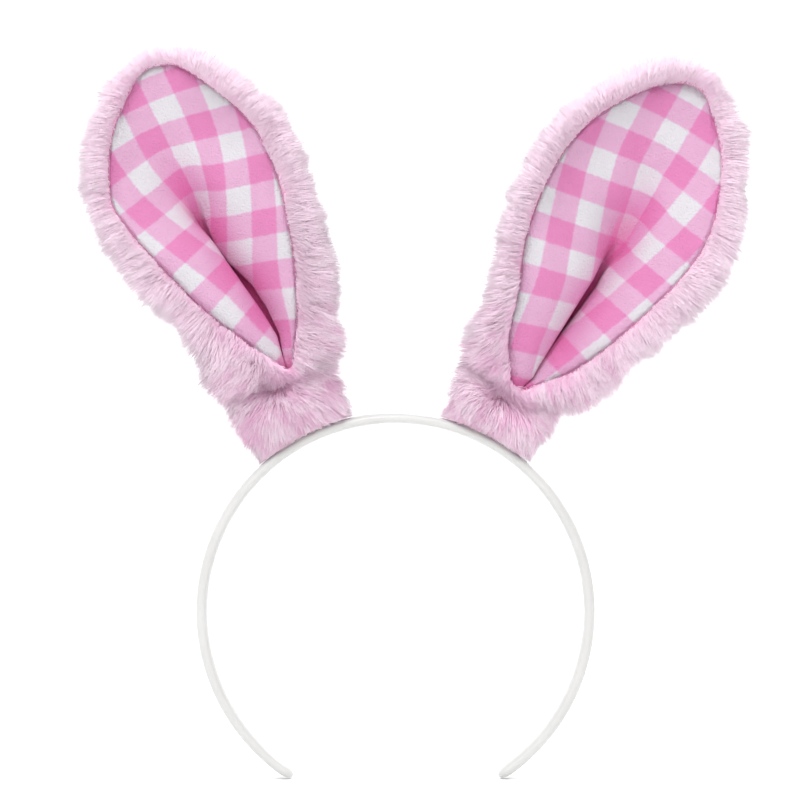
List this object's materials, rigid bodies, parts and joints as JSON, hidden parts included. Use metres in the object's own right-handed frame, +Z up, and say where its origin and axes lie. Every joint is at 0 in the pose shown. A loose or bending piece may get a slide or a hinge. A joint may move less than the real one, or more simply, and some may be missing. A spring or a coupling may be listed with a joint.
{
  "type": "animal ears headband",
  "caption": "Open plastic hoop headband with two lined, padded plush rabbit ears that tilt forwards and backwards on gathered necks.",
  "frame": {"origin": "middle of the hoop's inner face at its crown, where it rests on the top of the head", "axes": "+Z up out of the crown, -Y the side that the ears face, +X to the right in a front view"},
  "size_m": [0.2111, 0.0405, 0.2321],
  "materials": {
    "band_plastic": "satin, off-white moulded plastic",
    "plush_fur": "long-pile plush, pale pink, pinker at the roots",
    "gingham_fleece": "brushed fleece with a pink and white gingham check of about 8 mm",
    "wadding": "white polyester wadding",
    "sewing_thread": "pink polyester thread",
    "hot_melt_glue": "clear to milky hot-melt glue"
  },
  "bodies": {
    "root": {"headband": "band_plastic", "left_ear_foot": "plush_fur", "left_glue_pad": "hot_melt_glue", "right_ear_foot": "plush_fur", "right_glue_pad": "hot_melt_glue"},
    "left_ear": {"left_ear_cover": "plush_fur", "left_ear_lining": "gingham_fleece", "left_ear_padding": "wadding", "left_seam_thread": "sewing_thread", "left_tack_stitch": "sewing_thread"},
    "right_ear": {"right_ear_cover": "plush_fur", "right_ear_lining": "gingham_fleece", "right_ear_padding": "wadding", "right_seam_thread": "sewing_thread", "right_tack_stitch": "sewing_thread"}
  },
  "joints": [
    {"name": "left_ear_tilt", "type": "hinge", "parent": "root", "child": "left_ear", "pos_m": [-0.03399, 0, 0.00585], "axis": [0.8886, 0, 0.4587], "range_deg": [-50, 50], "stiffness_Nm_per_rad": 0.06},
    {"name": "right_ear_tilt", "type": "hinge", "parent": "root", "child": "right_ear", "pos_m": [0.03399, 0, 0.00585], "axis": [0.8886, 0, -0.4587], "range_deg": [-50, 50], "stiffness_Nm_per_rad": 0.06}
  ]
}
